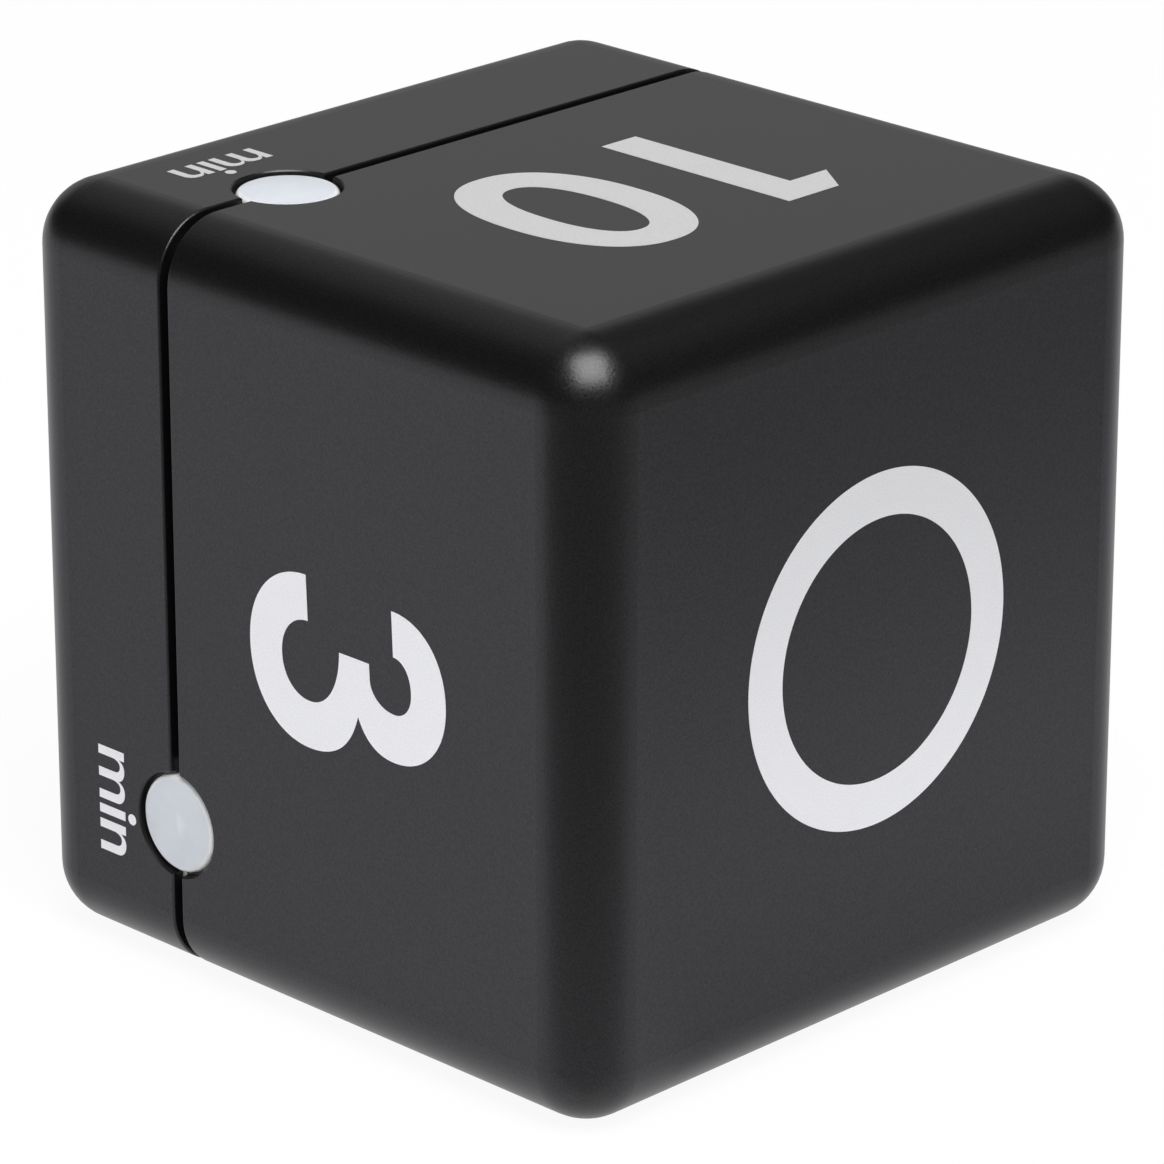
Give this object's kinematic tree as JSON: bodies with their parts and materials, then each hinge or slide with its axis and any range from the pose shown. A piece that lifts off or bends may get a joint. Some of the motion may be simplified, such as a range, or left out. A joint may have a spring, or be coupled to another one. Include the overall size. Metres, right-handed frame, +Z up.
{
  "type": "cube timer",
  "caption": "Cube timer: laid on a time face it runs that countdown. Alarm light lenses sit in the seam; the rear has a display, an on/off slide and a battery door.",
  "frame": {"origin": "middle of the face that the cube stands on", "axes": "+Z up, -Y out of the plain 0 face, +Y out of the display face; the time faces stand round Y"},
  "size_m": [0.062, 0.062, 0.062],
  "materials": {
    "soft_touch_black": "soft-touch lacquered ABS",
    "knob_black": "fine eroded ABS",
    "lens_milky": "milky acrylic",
    "window_clear": "clear acrylic",
    "lcd_glass": "reflective LCD",
    "frame_white": "moulded",
    "elastomer": "striped silicone",
    "board_green": "solder mask",
    "connector_black": "moulded",
    "chip_resin": "epoxy drop",
    "steel_plate": "zinc plated",
    "pin_brass": "gilt",
    "can_aluminium": "drawn can",
    "contact_nickel": "nickel plated steel",
    "cell_sleeve": "printed sleeve"
  },
  "bodies": {
    "case": {"alarm_light_bottom": "frame_white", "alarm_light_left": "frame_white", "alarm_light_right": "frame_white", "alarm_light_top": "frame_white", "battery_lower": "cell_sleeve", "battery_upper": "cell_sleeve", "board_header": "connector_black", "board_socket": "connector_black", "buzzer": "connector_black", "capacitor": "can_aluminium", "case_screws": "steel_plate", "contact_spring_lower": "contact_nickel", "contact_spring_upper": "contact_nickel", "control_chip": "chip_resin", "crystal": "steel_plate", "display_board": "board_green", "display_board_screws": "steel_plate", "display_window": "window_clear", "elastomer_connector": "elastomer", "front_housing": "soft_touch_black", "header_pins": "pin_brass", "lcd_frame": "frame_white", "lcd_panel": "lcd_glass", "light_lens_bottom": "lens_milky", "light_lens_left": "lens_milky", "light_lens_right": "lens_milky", "light_lens_top": "lens_milky", "link_contact": "contact_nickel", "main_board": "board_green", "main_board_screws": "steel_plate", "negative_contact": "contact_nickel", "positive_contact": "contact_nickel", "rear_cover": "soft_touch_black", "slide_switch_body": "steel_plate", "tilt_can_left": "steel_plate", "tilt_can_right": "steel_plate"},
    "knob": {"switch_knob": "knob_black", "switch_actuator": "knob_black"},
    "door": {"battery_door": "soft_touch_black"},
    "ball_left": {"tilt_ball_left": "steel_plate"},
    "ball_right": {"tilt_ball_right": "steel_plate"}
  },
  "joints": [
    {"name": "knob_slide", "type": "slide", "parent": "case", "child": "knob", "axis": [1, 0, 0], "range_m": [0, 0.0026]},
    {"name": "door_tilt", "type": "hinge", "parent": "case", "child": "door", "pos_m": [0, 0.0301, 0.0061], "axis": [-1, 0, 0], "range_deg": [0, 70]},
    {"name": "ball_left_roll", "type": "slide", "parent": "case", "child": "ball_left", "axis": [0.7071, 0, 0.7071], "range_m": [0, 0.002]},
    {"name": "ball_right_roll", "type": "slide", "parent": "case", "child": "ball_right", "axis": [-0.7071, 0, 0.7071], "range_m": [0, 0.002]}
  ]
}
